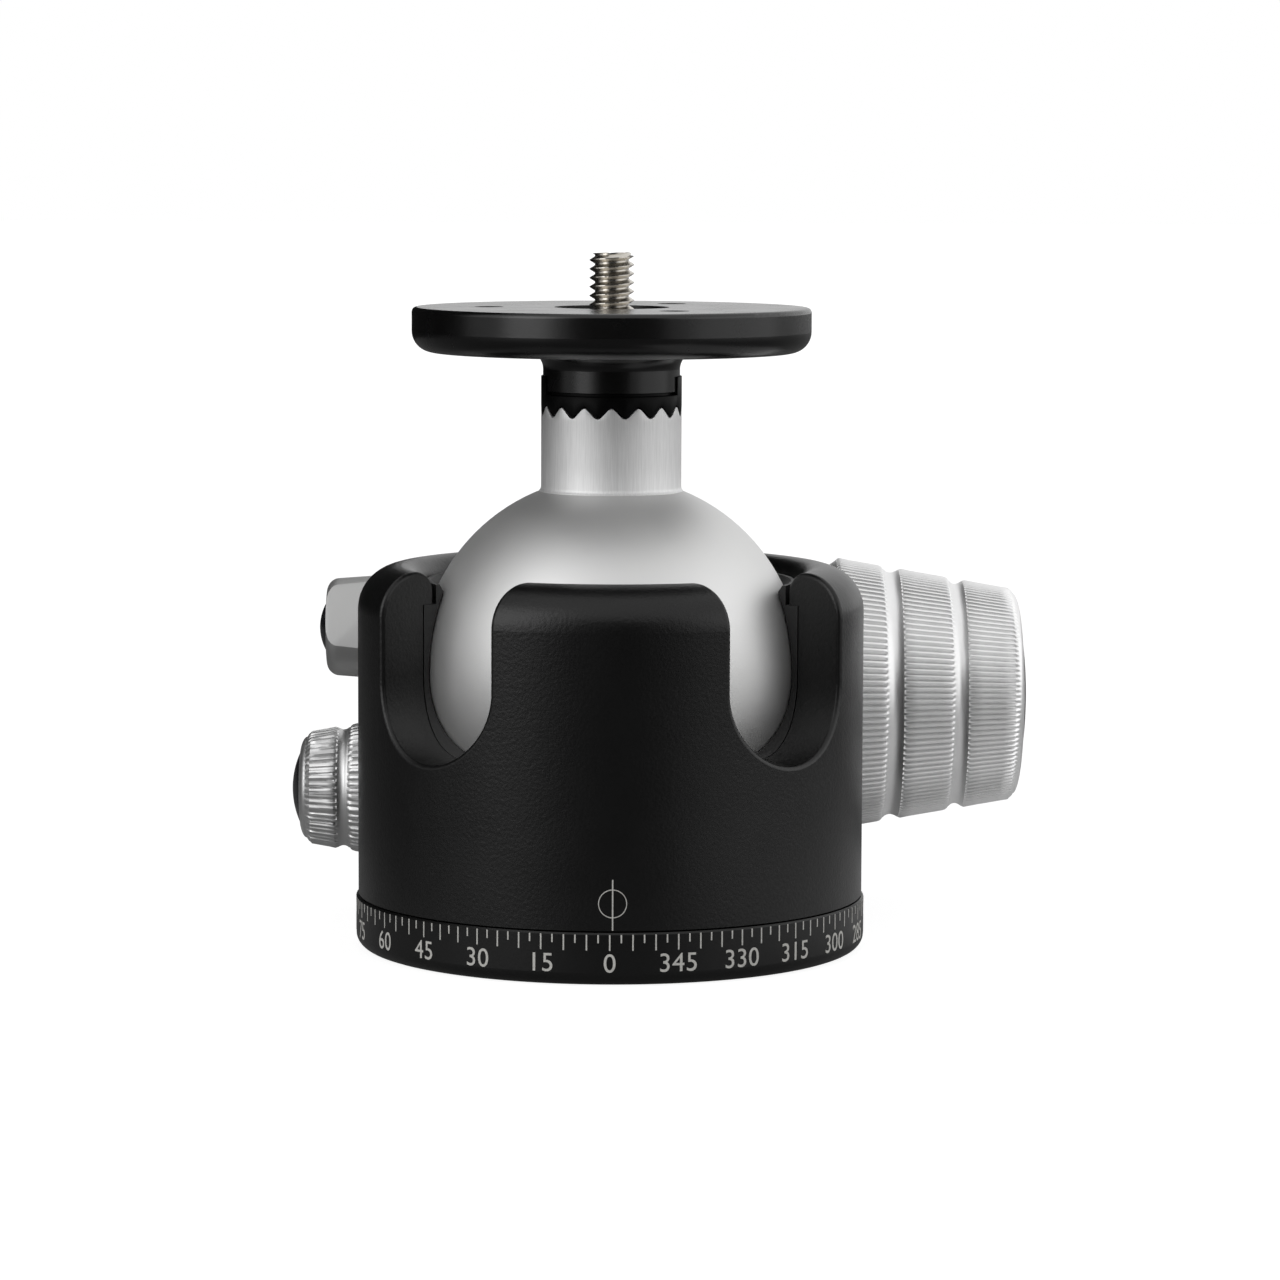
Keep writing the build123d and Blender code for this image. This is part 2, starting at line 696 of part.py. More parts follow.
with BuildPart() as camera_stud:
    with BuildSketch(Plane.XY.offset(stud_foot_z)):
        Circle(stud_root_r)
    extrude(amount=bolt_top - stud_foot_z)
    with BuildSketch(Plane.XY.offset(bolt_top)):
        Circle(stud_r)
    extrude(amount=stud_top - bolt_top)
    chamfer(camera_stud.edges().group_by(Axis.Z)[-1], length=stud_tip)
save(camera_stud.part, "camera_stud")

# ================================================================ controls
knob_x = block_half + knob_gap
taper = tan(radians(knob_taper))


def turned(control, points, side=None):
    """Solid of revolution about a control's shaft; points are (distance outward, radius)."""
    with BuildPart() as piece:
        with BuildSketch(control.across(side)):
            with BuildLine():
                Polyline(*points, close=True)
            make_face()
        revolve(axis=control.axis)
    return piece


def make_shaft(control, name, inner_end, outer_end, screw_r):
    """Threaded inner end, retaining collar, journal in the bush and knob, screw hole in the end."""
    flange_r = control.journal_r + collar_step
    points = (
        (inner_end, 0),
        (inner_end, control.thread_r),
        (control.collar_in, control.thread_r),
        (control.collar_in, flange_r),
        (control.collar_out, flange_r),
        (control.collar_out, control.journal_r),
        (outer_end, control.journal_r),
        (outer_end, screw_r),
        (outer_end - screw_hole_depth, screw_r),
        (outer_end - screw_hole_depth, 0),
    )
    save(turned(control, points).part, name)


def make_bush(control, name):
    """Bearing bush in the mouth of a control bore."""
    hole_r = control.journal_r + run
    points = (
        (control.bush_in, hole_r),
        (control.bush_in, control.bore_r),
        (block_half, control.bore_r),
        (block_half, hole_r),
    )
    save(turned(control, points).part, name)


def make_nut(control, name, side):
    """Nut with a sloped face that pushes the plunger when the nut moves inward."""
    with BuildPart() as nut:
        with BuildSketch(control.facing(control.nut_in, side)):
            Circle(control.nut_r)
            Circle(control.thread_r + run, mode=Mode.SUBTRACT)
        extrude(amount=control.nut_out - control.nut_in)
        split(bisect_by=control.wedge(0, side), keep=Keep.BOTTOM)
    save(nut.part, name)


def make_plunger(control, name, side, reach, at_ball):
    """Pin from the nut's slope towards what it presses on, cupped to the ball where it meets it."""
    with BuildPart() as plunger:
        with BuildSketch(control.plunger_plane(side)):
            Circle(control.plunger_r)
        extrude(amount=reach)
        split(bisect_by=control.wedge(seat, side), keep=Keep.TOP)
        if at_ball:
            with Locations((0, 0, ball_z)):
                Sphere(socket_r, mode=Mode.SUBTRACT)
    save(plunger.part, name)


def make_cap(control, name, face, radius, dome):
    """Domed cap that closes the knob's end over its screw."""
    with BuildPart() as cap:
        with BuildSketch(control.across()):
            with BuildLine():
                Polyline((face + dome, 0), (face - cap_sink, 0), (face - cap_sink, radius), (face, radius))
                ThreePointArc((face, radius), dome_point(face, radius, dome), (face + dome, 0))
            make_face()
        revolve(axis=control.axis)
    save(cap.part, name)


def make_screw(control, name, seat_x, radius, head_r):
    """Socket head screw that holds the knob on its shaft."""
    points = (
        (seat_x - screw_length, 0),
        (seat_x - screw_length, radius),
        (seat_x, radius),
        (seat_x, head_r),
        (seat_x + screw_head_t, head_r),
        (seat_x + screw_head_t, 0),
    )
    with BuildPart() as screw:
        with BuildSketch(control.across()):
            with BuildLine():
                Polyline(*points, close=True)
            make_face()
        revolve(axis=control.axis)
        with BuildSketch(control.facing(seat_x + screw_head_t)):
            RegularPolygon(head_r * screw_socket, 6)
        extrude(amount=-screw_socket_depth, mode=Mode.SUBTRACT)
    save(screw.part, name)


def bore_points(control, face, face_r, shaft_end, screw_r, head_r):
    """The knob's inside, from the cap recess in to the mouth of the shaft hole."""
    seat_x = face - cap_sink - screw_head_t - screw_seat_gap
    return (
        (face - cap_sink, face_r),
        (face - cap_sink, head_r + 2 * run),
        (seat_x, head_r + 2 * run),
        (seat_x, screw_r + run),
        (shaft_end, screw_r + run),
        (shaft_end, control.journal_r),
        (knob_x, control.journal_r),
    )


def make_cone_knob(control, name, bevel, back_r, top_r, bands, grooves, groove_depth, nose, face_r, inside):
    """Tapered grip with turned grooves between its bands and a rounded nose."""
    x = knob_x + bevel
    points = [(knob_x, back_r)]
    for index, band in enumerate(bands):
        start_r = top_r - taper * (x - knob_x - bevel)
        points.append((x, start_r))
        x += band
        end_r = start_r - taper * band
        if index < len(grooves):
            groove = grooves[index]
            floor_r = end_r - taper * groove / 2 - groove_depth
            points.append((x - groove_depth, end_r + taper * groove_depth))
            points.append((x, end_r - groove_depth / 2))
            points.append((x + groove / 4, floor_r))
            points.append((x + groove - groove / 6, floor_r))
            x += groove
        else:
            points.append((x, end_r))
    face = x + nose
    middle = (x + nose * nose_bulge, face_r + (end_r - face_r) * nose_bulge)
    with BuildPart() as knob:
        with BuildSketch(control.across()):
            with BuildLine():
                Polyline(*points)
                ThreePointArc(points[-1], middle, (face, face_r))
                Polyline((face, face_r), *inside, points[0])
            make_face()
        revolve(axis=control.axis)
    save(knob.part, name)


clamp_face = knob_x + clamp_knob_bevel + sum(clamp_knob_bands) + sum(clamp_knob_grooves) + clamp_knob_nose
pan_face = knob_x + pan_knob_bevel + sum(pan_knob_bands) + sum(pan_knob_grooves) + pan_knob_nose
friction_face = knob_x + friction_knob_length
clamp_shaft_end = knob_x + clamp_knob_shaft_end
pan_shaft_end = knob_x + pan_knob_shaft_end
friction_shaft_end = knob_x + friction_knob_shaft_end
seat_back = cap_sink + screw_head_t + screw_seat_gap

# clamp
make_shaft(clamp, "clamp_shaft", -(clamp.nut_out + shaft_past_nut), clamp_shaft_end, clamp_screw_r)
make_bush(clamp, "clamp_bush")
for side, label in ((1, "right"), (-1, "left")):
    make_nut(clamp, f"clamp_nut_{label}", side)
    make_plunger(clamp, f"clamp_shoe_{label}", side, clamp_reach, True)
clamp_inside = bore_points(clamp, clamp_face, clamp_knob_face_r, clamp_shaft_end,
                           clamp_screw_r, clamp_screw_head_r)
make_cone_knob(clamp, "clamp_knob", clamp_knob_bevel, clamp_knob_back_r, clamp_knob_r, clamp_knob_bands,
               clamp_knob_grooves, clamp_knob_groove_depth, clamp_knob_nose, clamp_knob_face_r, clamp_inside)
make_cap(clamp, "clamp_knob_cap", clamp_face, clamp_knob_face_r - run, clamp_cap_dome)
make_screw(clamp, "clamp_knob_screw", clamp_face - seat_back, clamp_screw_r, clamp_screw_head_r)

with BuildPart() as bore_plug:
    with BuildSketch(clamp.facing(block_half - plug_length, -1)):
        Circle(clamp.bore_r)
    extrude(amount=plug_length)
    with BuildSketch(clamp.facing(block_half, -1)):
        RegularPolygon(plug_socket_r, 6)
    extrude(amount=-plug_socket_depth, mode=Mode.SUBTRACT)
save(bore_plug.part, "bore_plug")

# pan lock
make_shaft(pan_lock, "pan_lock_shaft", pan_lock.nut_in - small_shaft_past_nut, pan_shaft_end, small_screw_r)
make_bush(pan_lock, "pan_lock_bush")
make_nut(pan_lock, "pan_lock_nut", -1)
make_plunger(pan_lock, "pan_brake_pin", -1, pan_lock.z - pad_top, False)
pan_inside = bore_points(pan_lock, pan_face, pan_knob_face_r, pan_shaft_end,
                         small_screw_r, small_screw_head_r)
make_cone_knob(pan_lock, "pan_lock_knob", pan_knob_bevel, pan_knob_back_r, pan_knob_r, pan_knob_bands,
               pan_knob_grooves, pan_knob_groove_depth, pan_knob_nose, pan_knob_face_r, pan_inside)
make_cap(pan_lock, "pan_lock_cap", pan_face, pan_knob_face_r - run, pan_cap_dome)
make_screw(pan_lock, "pan_lock_screw", pan_face - seat_back, small_screw_r, small_screw_head_r)

with BuildPart() as pan_brake_pad:
    with BuildSketch(Plane.XY.offset(base_h + seat)):
        with Locations((-pan_lock.plunger_x, pan_lock.y)):
            Circle(pan_lock.plunger_r)
    extrude(amount=pad_top - base_h - seat)
save(pan_brake_pad.part, "pan_brake_pad")

# friction
make_shaft(friction, "friction_shaft", friction.nut_in - small_shaft_past_nut, friction_shaft_end,
           small_screw_r)
make_bush(friction, "friction_bush")
make_nut(friction, "friction_nut", -1)
make_plunger(friction, "friction_pin", -1, friction_reach, True)
make_cap(friction, "friction_knob_cap", friction_face, friction_face_r - run, friction_cap_dome)
make_screw(friction, "friction_knob_screw", friction_face - seat_back, small_screw_r, small_screw_head_r)
friction_inside = bore_points(friction, friction_face, friction_face_r, friction_shaft_end,
                              small_screw_r, small_screw_head_r)
nose_start = friction_face - friction_knob_corner
nose_r = friction_knob_r_out - friction_knob_corner
nose_middle = (nose_start + friction_knob_corner * sin(radians(45)),
               nose_r + friction_knob_corner * cos(radians(45)))
flat_depth = friction_knob_r_in

with BuildPart() as friction_knob:
    with BuildSketch(friction.across()):
        with BuildLine():
            Polyline((knob_x, friction_knob_r_in), (nose_start, friction_knob_r_out))
            ThreePointArc((nose_start, friction_knob_r_out), nose_middle, (friction_face, nose_r))
            Polyline((friction_face, nose_r), (friction_face, friction_face_r), *friction_inside,
                     (knob_x, friction_knob_r_in))
        make_face()
    revolve(axis=friction.axis)
    with BuildSketch(friction.facing(knob_x + friction_knob_rim)):
        with PolarLocations(friction_knob_flat + flat_depth / 2, 2, start_angle=friction_knob_turn):
            Rectangle(flat_depth, 3 * friction_knob_r_in)
    extrude(amount=friction_knob_length, mode=Mode.SUBTRACT)
save(friction_knob.part, "friction_knob")
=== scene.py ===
"""Looks of the tripod ball head: anodised housing and platform, blasted ball, knurled knobs, scale and stud.

Lengths are in metres; a value written as 3.2 * MM is 3.2 mm. +Z is up, -Y the front with the index
mark, +X the clamp knob's side. Turned pieces are made standing on Z and then laid along their shaft.
"""

import json
from math import asin, atan2, cos, hypot, pi, radians, sin, tan

import bmesh
import bpy
from mathutils import Matrix, Vector


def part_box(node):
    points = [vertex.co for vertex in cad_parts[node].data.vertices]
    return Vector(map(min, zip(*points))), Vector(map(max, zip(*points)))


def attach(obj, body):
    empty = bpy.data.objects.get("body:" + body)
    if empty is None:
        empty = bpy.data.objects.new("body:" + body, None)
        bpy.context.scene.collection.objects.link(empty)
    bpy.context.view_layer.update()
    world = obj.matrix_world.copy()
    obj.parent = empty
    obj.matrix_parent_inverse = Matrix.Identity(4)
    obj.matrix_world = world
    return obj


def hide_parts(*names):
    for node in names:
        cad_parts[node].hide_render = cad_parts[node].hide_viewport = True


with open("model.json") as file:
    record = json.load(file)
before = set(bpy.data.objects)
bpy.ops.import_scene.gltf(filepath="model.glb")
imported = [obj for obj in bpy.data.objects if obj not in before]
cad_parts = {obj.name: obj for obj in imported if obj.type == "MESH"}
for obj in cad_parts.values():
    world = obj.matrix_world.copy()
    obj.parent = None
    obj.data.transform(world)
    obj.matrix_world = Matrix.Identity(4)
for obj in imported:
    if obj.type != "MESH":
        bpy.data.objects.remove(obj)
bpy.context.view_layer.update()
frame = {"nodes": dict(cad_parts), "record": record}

MM = 0.001


# ---------------------------------------------------------------- sizes read from the frame
def middle(node):
    """Centre of a node's box."""
    low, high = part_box(node)
    return (low + high) / 2


base_low, base_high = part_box("panning_base")
base_r = base_high.x
stem_low, stem_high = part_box("ball_stem")
ball_low, ball_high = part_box("ball")
ball_centre = Vector((0, 0, ball_low.z + ball_high.x))
collar_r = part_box("index_collar")[1].x
bolt_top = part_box("platform_bolt")[1].z
stud_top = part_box("camera_stud")[1].z


# ---------------------------------------------------------------- modelling helpers
def begin():
    """Nothing selected, so that the next primitive is all that an operator acts on."""
    bpy.ops.object.select_all(action="DESELECT")


def choose(piece):
    """Make the piece the active one and the only one selected."""
    bpy.ops.object.select_all(action="DESELECT")
    piece.select_set(True)
    bpy.context.view_layer.objects.active = piece


def settle(piece, name):
    """Name the piece and put its place into its mesh."""
    piece.name = name
    piece.data.name = name
    choose(piece)
    bpy.ops.object.transform_apply(location=True, rotation=True, scale=True)
    return piece


def apply_modifiers(piece):
    """Apply every modifier of the piece in order."""
    choose(piece)
    for modifier in list(piece.modifiers):
        bpy.ops.object.modifier_apply(modifier=modifier.name)


def smooth(piece, angle=35):
    """Smooth shading that keeps edges sharper than the angle."""
    choose(piece)
    bpy.ops.object.shade_smooth_by_angle(angle=radians(angle))


def bend(centre_height, centre_r, radius, start, end, count):
    """Points of a round stretch of an outline: start and end are degrees, 0 outward and 90 up."""
    points = []
    for step in range(count + 1):
        turn = radians(start + (end - start) * step / count)
        points.append((centre_height + radius * sin(turn), centre_r + radius * cos(turn)))
    return points


def turn_on_lathe(name, outline, steps):
    """A turned piece standing on Z: a ring for every (height, radius) of the outline, both ends closed."""
    begin()
    height, radius = outline[0]
    bpy.ops.mesh.primitive_circle_add(
        vertices=steps, radius=radius, fill_type="NGON", location=(0, 0, height)
    )
    piece = settle(bpy.context.object, name)
    bpy.ops.object.mode_set(mode="EDIT")
    for (low, before), (high, after) in zip(outline, outline[1:]):
        bpy.ops.mesh.extrude_region_move(TRANSFORM_OT_translate={"value": (0, 0, high - low)})
        share = after / before
        bpy.ops.transform.resize(value=(share, share, 1), center_override=(0, 0, high))
    bpy.ops.mesh.select_all(action="SELECT")
    bpy.ops.mesh.normals_make_consistent(inside=False)
    bpy.ops.object.mode_set(mode="OBJECT")
    return piece


def pick_points(piece, wanted):
    """Edit mode with only the vertices selected that the test accepts."""
    choose(piece)
    bpy.ops.object.mode_set(mode="EDIT")
    bpy.ops.mesh.select_mode(type="VERT")
    bpy.ops.mesh.select_all(action="DESELECT")
    mesh = bmesh.from_edit_mesh(piece.data)
    for vertex in mesh.verts:
        vertex.select = wanted(vertex.co)
    mesh.select_flush(True)
    bmesh.update_edit_mesh(piece.data)


def pick_faces(piece, wanted):
    """Edit mode of the active piece with only the faces selected that the test accepts."""
    bpy.ops.object.mode_set(mode="EDIT")
    bpy.ops.mesh.select_mode(type="FACE")
    bpy.ops.mesh.select_all(action="DESELECT")
    mesh = bmesh.from_edit_mesh(piece.data)
    for face in mesh.faces:
        face.select = wanted(face)
    bmesh.update_edit_mesh(piece.data)


def round_edges(piece, width, segments, angle):
    """Round the edges that turn by more than the angle."""
    rounding = piece.modifiers.new("edge", "BEVEL")
    rounding.width = width
    rounding.segments = segments
    rounding.limit_method = "ANGLE"
    rounding.angle_limit = radians(angle)
    apply_modifiers(piece)


def lay_along(piece, shaft, side):
    """Lay a piece that stands on Z along its shaft: its height then runs outward, to +X or -X."""
    piece.rotation_euler = (0, side * pi / 2, 0)
    piece.location = (0, shaft.y, shaft.z)
    return settle(piece, piece.name)


def cut_with(piece, tool, operation="DIFFERENCE"):
    """Cut the piece with a tool body, or keep only what lies inside it, and remove the tool."""
    modifier = piece.modifiers.new("cut", "BOOLEAN")
    modifier.operation = operation
    modifier.object = tool
    modifier.solver = "EXACT"
    apply_modifiers(piece)
    bpy.data.objects.remove(tool)


# ---------------------------------------------------------------- knobs
ridge_points = 6          # points of one ridge round the knob
ridge_shape = ((0, 1.0), (1, 0.55), (5, 0.55), (2, 0.06), (4, 0.06))    # point, share of the knurl's depth
groove_hollow = ((0.06, 0.66), (0.16, 0.88), (0.30, 1.0), (0.44, 1.0), (0.57, 0.9), (0.69, 0.72),
                 (0.80, 0.5), (0.90, 0.27))                            # share of the width, of the depth
band_round, nose_round = 0.72 * MM, 1.3 * MM                           # rounding at the end of a band


def knurl(piece, ridges, depth, bands, mean_r):
    """Press a straight knurl into the bands: (low, high, share of the depth) along the height."""
    steps = ridges * ridge_points
    for phase, share in ridge_shape:
        for low, high, strength in bands:

            def in_groove(spot):
                index = round(atan2(spot.y, spot.x) / (2 * pi) * steps) % ridge_points
                return index == phase and low <= spot.z <= high and hypot(spot.x, spot.y) > mean_r / 2

            pick_points(piece, in_groove)
            keep = 1 - depth * share * strength / mean_r
            bpy.ops.transform.resize(value=(keep, keep, 1), center_override=(0, 0, 0))
            bpy.ops.object.mode_set(mode="OBJECT")


def knurled_grip(name, inner_face, bevel, back_r, top_r, bands, grooves, groove_depth, nose, face_r,
                 slope, ridges, depth, sink):
    """A cone grip standing on Z: knurled bands, smooth hollow grooves between them and a round nose."""
    edge = 0.12 * MM
    outline = [(inner_face + 0.2 * MM, 3 * MM), (inner_face + 0.1 * MM, back_r - 0.4 * MM),
               (inner_face + 0.3 * MM, back_r)]
    start = inner_face + bevel
    pressed = []
    for index, band in enumerate(bands):
        start_r = top_r - slope * (start - inner_face - bevel)
        end = start + band
        end_r = start_r - slope * band
        if index == 0:
            outline.append((start - 0.35 * MM, start_r - 0.38 * MM))
        outline.append((start, start_r - edge * 0.6))
        outline.append((start + edge * 2, start_r))
        stretch = band - 1.1 * MM
        for step in range(1, 5):
            share = step / 4
            run = edge * 2 + stretch * share
            outline.append((start + run, start_r - slope * run))
        round_r = nose_round if index == len(bands) - 1 else band_round
        shoulder = end - round_r
        for turn in (25, 45, 65):
            height = shoulder + round_r * sin(radians(turn))
            drop = round_r * (1 - cos(radians(turn)))
            outline.append((height, end_r + slope * (end - height) - drop))
        pressed.append((start - 0.2 * MM, shoulder - 0.02 * MM, 1.0))
        pressed.append((shoulder, shoulder + round_r * 0.5, 0.8))
        pressed.append((shoulder + round_r * 0.5 + 0.01 * MM, shoulder + round_r * 0.8, 0.45))
        if index < len(grooves):
            groove = grooves[index]
            for along, share in groove_hollow:
                run = along * groove
                outline.append((end + run, end_r - slope * run - groove_depth * share))
            start = end + groove
    last_height, last_r = outline[-1]
    fall = last_r - face_r
    nose_steps, nose_fullness = 8, 1.35
    for step in range(1, nose_steps + 1):
        turn = radians(90 * step / nose_steps)
        radius = face_r + fall * cos(turn) ** nose_fullness if step < nose_steps else face_r
        outline.append((last_height + nose * sin(turn), radius))
    face = last_height + nose
    outline.append((face - 0.08 * MM, face_r - 0.1 * MM))
    outline.append((face - sink, face_r - 0.1 * MM))
    grip = turn_on_lathe(name, outline, ridges * ridge_points)
    knurl(grip, ridges, depth, pressed, top_r - slope * sum(bands) / 2)
    smooth(grip, 38)
    return grip, face


def domed_cap(name, face, radius, rise, sink):
    """The cap over a knob's screw, standing on Z."""
    sphere_r = (radius**2 + rise**2) / (2 * rise)
    outline = [(face - sink, radius - 0.1 * MM), (face - 0.05 * MM, radius - 0.02 * MM)]
    edge_turn = asin(radius / sphere_r)
    for step in range(13):
        turn = edge_turn * (1 - step / 12.5)
        lip = 0.05 * MM if step == 0 else 0
        outline.append((face + rise - sphere_r * (1 - cos(turn)), sphere_r * sin(turn) - lip))
    cap = turn_on_lathe(name, outline, 96)
    smooth(cap, 40)
    return cap


clamp_shaft = middle("clamp_shaft")
pan_shaft = middle("pan_lock_shaft")
friction_shaft = middle("friction_shaft")
cone_slope = tan(radians(9.8))


def make_clamp_knob():
    """The large clamp knob, three knurled bands and a wide black cap."""
    inner_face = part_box("clamp_knob")[0].x
    grip, face = knurled_grip(
        "clamp_grip", inner_face, bevel=4.5 * MM, back_r=17.3 * MM, top_r=20.4 * MM,
        bands=(6.8 * MM, 7.4 * MM, 7.65 * MM), grooves=(2.5 * MM, 2.2 * MM), groove_depth=0.8 * MM,
        nose=0.9 * MM, face_r=11.25 * MM, slope=cone_slope, ridges=126, depth=0.54 * MM, sink=1.0 * MM)
    lay_along(grip, clamp_shaft, 1)
    cap = domed_cap("clamp_cap_dome", face, 11.1 * MM, 0.95 * MM, 0.9 * MM)
    lay_along(cap, clamp_shaft, 1)
    return grip, cap


def make_pan_lock_knob():
    """The small knurled pan lock knob, on the left."""
    inner_face = -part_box("pan_lock_knob")[1].x
    grip, face = knurled_grip(
        "pan_lock_grip", inner_face, bevel=3.9 * MM, back_r=7.9 * MM, top_r=10.4 * MM,
        bands=(5.5 * MM, 4.6 * MM), grooves=(1.9 * MM,), groove_depth=0.6 * MM,
        nose=1.0 * MM, face_r=5.5 * MM, slope=cone_slope, ridges=57, depth=0.36 * MM, sink=1.0 * MM)
    lay_along(grip, pan_shaft, -1)
    cap = domed_cap("pan_lock_cap_dome", face, 5.4 * MM, 1.2 * MM, 0.9 * MM)
    lay_along(cap, pan_shaft, -1)
    return grip, cap


def make_friction_knob():
    """The smooth friction knob with two flats for the fingers."""
    low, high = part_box("friction_knob")
    inner_face, face = -high.x, -low.x
    corner = 1.9 * MM
    inner_r, outer_r, cap_r = 8.0 * MM, 7.3 * MM, 3.95 * MM
    outline = [(inner_face + 0.05 * MM, 2.6 * MM), (inner_face, inner_r - 0.2 * MM),
               (inner_face + 0.2 * MM, inner_r), (inner_face + 2.0 * MM, inner_r - 0.1 * MM),
               (inner_face + 6.0 * MM, (inner_r + outer_r) / 2)]
    outline += bend(face - corner, outer_r - corner, corner, 0, 90, 8)
    outline += [(face, cap_r + 0.15 * MM), (face - 0.12 * MM, cap_r), (face - 0.95 * MM, cap_r)]
    grip = turn_on_lathe("friction_grip", outline, 96)
    flat, flat_start = 5.5 * MM, inner_face + 2.0 * MM
    flat_turn = radians(24 - 90)    # one flat faces the front, tipped up 24 degrees
    for side in (1, -1):
        begin()
        reach = 10 * MM
        bpy.ops.mesh.primitive_cube_add(size=1)
        cutter = bpy.context.object
        cutter.scale = (reach, 4 * reach, 3 * reach)
        cutter.location = ((flat + reach / 2) * side, 0, flat_start + 1.5 * reach)
        settle(cutter, "finger_flat_cutter")    # size and place first, so that it turns about the shaft
        cutter.rotation_euler = (0, 0, flat_turn)
        settle(cutter, "finger_flat_cutter")
        cut_with(grip, cutter)
    round_edges(grip, 0.35 * MM, 3, 20)
    smooth(grip, 30)
    lay_along(grip, friction_shaft, -1)
    cap = domed_cap("friction_cap_dome", face, cap_r - 0.08 * MM, 1.1 * MM, 0.9 * MM)
    lay_along(cap, friction_shaft, -1)
    return grip, cap


# ---------------------------------------------------------------- neck, collar and stud
tooth_count = 16
tooth_points = 12
neck_r = 10.05 * MM
tooth_root = stem_high.z - 1.5 * MM
neck_tooth = (0, 0.10, 0.31, 0.54, 0.77, 0.95, 1)     # share of the drop from crest to root, point by point
tiny = 0.001 * MM          # closer than this counts as the same place


def tooth_phase(spot):
    """Place within one tooth: 0 at its crest, 0.5 in the gap beside it."""
    turn = atan2(spot.y, spot.x) / (2 * pi) * tooth_count
    crest_at_front = (-0.25 * tooth_count) % 1
    return abs((turn - crest_at_front + 0.5) % 1 - 0.5)


def shape_teeth(piece, level, heights):
    """Move the ring of points at a level to their place on the teeth; heights are by phase."""
    for index, height in heights.items():
        phase = index / tooth_points

        def on_tooth(spot):
            beside = abs(tooth_phase(spot) - phase)
            return abs(spot.z - level) < tiny and beside < 0.25 / tooth_points

        pick_points(piece, on_tooth)
        bpy.ops.transform.translate(value=(0, 0, height - level))
        bpy.ops.object.mode_set(mode="OBJECT")


def make_neck():
    """The ball's neck with its crown of teeth, flared a little where it meets the ball."""
    foot = stem_low.z + 17.4 * MM
    flare = 0.3 * MM
    level = tooth_root - 0.4 * MM
    outline = [(foot, neck_r + flare - 0.05 * MM), (foot + 0.12 * MM, neck_r + flare),
               (foot + 0.22 * MM, neck_r + 0.6 * flare), (foot + 0.42 * MM, neck_r + 0.2 * flare),
               (foot + 0.75 * MM, neck_r), (foot + 4 * MM, neck_r), (foot + 7 * MM, neck_r),
               (level, neck_r)]
    neck = turn_on_lathe("neck_crown", outline, tooth_count * tooth_points)
    pick_faces(neck, lambda face: all(abs(point.co.z - level) < tiny for point in face.verts))
    tooth_rise = 0.3 * MM
    bpy.ops.mesh.extrude_region_move(TRANSFORM_OT_translate={"value": (0, 0, tooth_rise)})
    bpy.ops.mesh.inset(thickness=2.8 * MM)
    bpy.ops.mesh.extrude_region_move(TRANSFORM_OT_translate={"value": (0, 0, -1.2 * MM)})
    bpy.ops.object.mode_set(mode="OBJECT")
    crest = stem_high.z
    drop = crest - tooth_root
    heights = {index: crest - share * drop for index, share in enumerate(neck_tooth)}
    shape_teeth(neck, level + tooth_rise, heights)
    round_edges(neck, 0.12 * MM, 2, 50)
    smooth(neck, 40)
    return neck


def make_collar():
    """The toothed index collar with its two tabs that key the platform."""
    top = 79.4 * MM
    apex, tip = stem_high.z + 0.27 * MM, tooth_root + 0.12 * MM
    level = stem_high.z + 0.6 * MM
    outer_r = collar_r - 0.03 * MM
    begin()
    bpy.ops.mesh.primitive_circle_add(
        vertices=tooth_count * tooth_points, radius=outer_r, fill_type="NGON", location=(0, 0, level))
    collar = settle(bpy.context.object, "toothed_collar")
    bpy.ops.object.mode_set(mode="EDIT")
    bpy.ops.mesh.extrude_region_move(TRANSFORM_OT_translate={"value": (0, 0, top - level)})
    bpy.ops.mesh.inset(thickness=0.9 * MM)
    bpy.ops.mesh.extrude_region_move(TRANSFORM_OT_translate={"value": (0, 0, 0.5 * MM)})
    bpy.ops.mesh.select_all(action="SELECT")
    bpy.ops.mesh.normals_make_consistent(inside=False)

    def toothed_end(face):
        return len(face.verts) > 4 and abs(face.calc_center_median().z - level) < 10 * tiny

    pick_faces(collar, toothed_end)
    bpy.ops.mesh.inset(thickness=3.2 * MM)
    bpy.ops.object.mode_set(mode="OBJECT")
    drop = apex - tip
    heights = {index: apex - drop * index / 6 for index in range(7)}
    shape_teeth(collar, level, heights)
    tab_top = 82.0 * MM
    tab_half = radians(21)
    tab_inner_r = 9.3 * MM

    def in_tab(face):
        spot = face.calc_center_median()
        beside = abs(atan2(spot.y, abs(spot.x)))
        return beside < tab_half and abs(spot.z - top) < 10 * tiny and hypot(spot.x, spot.y) > tab_inner_r

    pick_faces(collar, in_tab)
    bpy.ops.mesh.extrude_region_move(TRANSFORM_OT_translate={"value": (0, 0, tab_top - top)})
    bpy.ops.mesh.select_all(action="SELECT")
    bpy.ops.mesh.remove_doubles(threshold=tiny)
    bpy.ops.mesh.normals_make_consistent(inside=False)
    bpy.ops.object.mode_set(mode="OBJECT")
    round_edges(collar, 0.08 * MM, 2, 50)
    smooth(collar, 35)
    return collar


